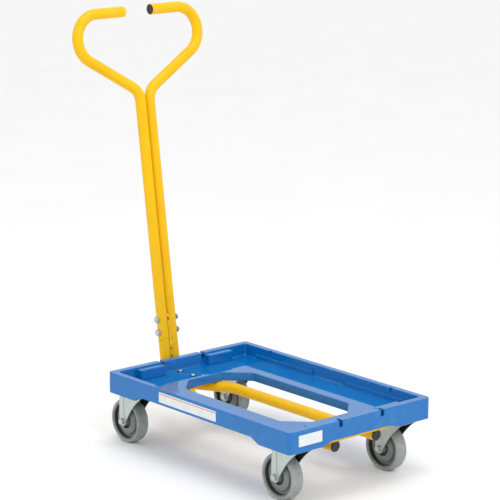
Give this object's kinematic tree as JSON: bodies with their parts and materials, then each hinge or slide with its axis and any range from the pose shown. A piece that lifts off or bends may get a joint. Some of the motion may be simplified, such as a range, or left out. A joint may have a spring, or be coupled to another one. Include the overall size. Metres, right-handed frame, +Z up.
{
  "type": "folding platform cart",
  "caption": "Low four-wheel platform cart: moulded tray deck with an open middle, swivel casters, and a heart-shaped tube handle that folds forward over the deck.",
  "frame": {"origin": "on the floor under the middle of the bounding box, with the handle up and the wheels on the floor", "axes": "+X towards the front, away from the handle; +Y to the left; +Z up"},
  "size_m": [0.7716, 0.408, 0.9677],
  "materials": {
    "deck_plastic": "gloss moulded blue",
    "yellow_paint": "gloss powder coat",
    "zinc": "bright zinc plate",
    "wheel_core": "moulded grey",
    "tread": "non-marking grey",
    "plug_plastic": "black",
    "label": "printed film"
  },
  "bodies": {
    "cart": {"deck": "deck_plastic", "side_label": "label", "end_label": "label", "floor_bolt_1": "zinc", "floor_bolt_2": "zinc", "frame_tube_left": "yellow_paint", "frame_tube_right": "yellow_paint", "frame_plug_left": "plug_plastic", "frame_plug_right": "plug_plastic", "front_cross_plate": "yellow_paint", "rear_cross_plate": "yellow_paint", "tongue_plate": "yellow_paint", "fold_bolt": "zinc", "fold_nut": "zinc", "front_left_top_plate": "zinc", "front_left_race_ring": "zinc", "front_left_kingpin": "zinc", "front_right_top_plate": "zinc", "front_right_race_ring": "zinc", "front_right_kingpin": "zinc", "rear_left_top_plate": "zinc", "rear_left_race_ring": "zinc", "rear_left_kingpin": "zinc", "rear_right_top_plate": "zinc", "rear_right_race_ring": "zinc", "rear_right_kingpin": "zinc"},
    "handle": {"handle_tube_left": "yellow_paint", "handle_tube_right": "yellow_paint", "handle_plug_left": "plug_plastic", "handle_plug_right": "plug_plastic", "lock_bolt": "zinc", "lock_nut": "zinc"},
    "front_left_caster": {"front_left_fork": "zinc", "front_left_axle_sleeve": "zinc", "front_left_axle_bolt": "zinc", "front_left_axle_nut": "zinc"},
    "front_left_wheel": {"front_left_tread": "tread", "front_left_wheel_core": "wheel_core"},
    "front_right_caster": {"front_right_fork": "zinc", "front_right_axle_sleeve": "zinc", "front_right_axle_bolt": "zinc", "front_right_axle_nut": "zinc"},
    "front_right_wheel": {"front_right_tread": "tread", "front_right_wheel_core": "wheel_core"},
    "rear_left_caster": {"rear_left_fork": "zinc", "rear_left_axle_sleeve": "zinc", "rear_left_axle_bolt": "zinc", "rear_left_axle_nut": "zinc"},
    "rear_left_wheel": {"rear_left_tread": "tread", "rear_left_wheel_core": "wheel_core"},
    "rear_right_caster": {"rear_right_fork": "zinc", "rear_right_axle_sleeve": "zinc", "rear_right_axle_bolt": "zinc", "rear_right_axle_nut": "zinc"},
    "rear_right_wheel": {"rear_right_tread": "tread", "rear_right_wheel_core": "wheel_core"}
  },
  "joints": [
    {"name": "handle_fold", "type": "hinge", "parent": "cart", "child": "handle", "pos_m": [-0.2687, 0, 0.2225], "axis": [0, 1, 0], "range_deg": [0, 100]},
    {"name": "front_left_swivel", "type": "hinge", "parent": "cart", "child": "front_left_caster", "pos_m": [0.3396, 0.151, 0.11], "axis": [0, 0, 1], "continuous": true},
    {"name": "front_left_spin", "type": "hinge", "parent": "front_left_caster", "child": "front_left_wheel", "pos_m": [0.3047, 0.151, 0.0508], "axis": [0, 1, 0], "continuous": true},
    {"name": "front_right_swivel", "type": "hinge", "parent": "cart", "child": "front_right_caster", "pos_m": [0.3396, -0.151, 0.11], "axis": [0, 0, 1], "continuous": true},
    {"name": "front_right_spin", "type": "hinge", "parent": "front_right_caster", "child": "front_right_wheel", "pos_m": [0.3047, -0.151, 0.0508], "axis": [0, 1, 0], "continuous": true},
    {"name": "rear_left_swivel", "type": "hinge", "parent": "cart", "child": "rear_left_caster", "pos_m": [-0.182, 0.151, 0.11], "axis": [0, 0, 1], "continuous": true},
    {"name": "rear_left_spin", "type": "hinge", "parent": "rear_left_caster", "child": "rear_left_wheel", "pos_m": [-0.2169, 0.151, 0.0508], "axis": [0, 1, 0], "continuous": true},
    {"name": "rear_right_swivel", "type": "hinge", "parent": "cart", "child": "rear_right_caster", "pos_m": [-0.182, -0.151, 0.11], "axis": [0, 0, 1], "continuous": true},
    {"name": "rear_right_spin", "type": "hinge", "parent": "rear_right_caster", "child": "rear_right_wheel", "pos_m": [-0.2169, -0.151, 0.0508], "axis": [0, 1, 0], "continuous": true}
  ]
}
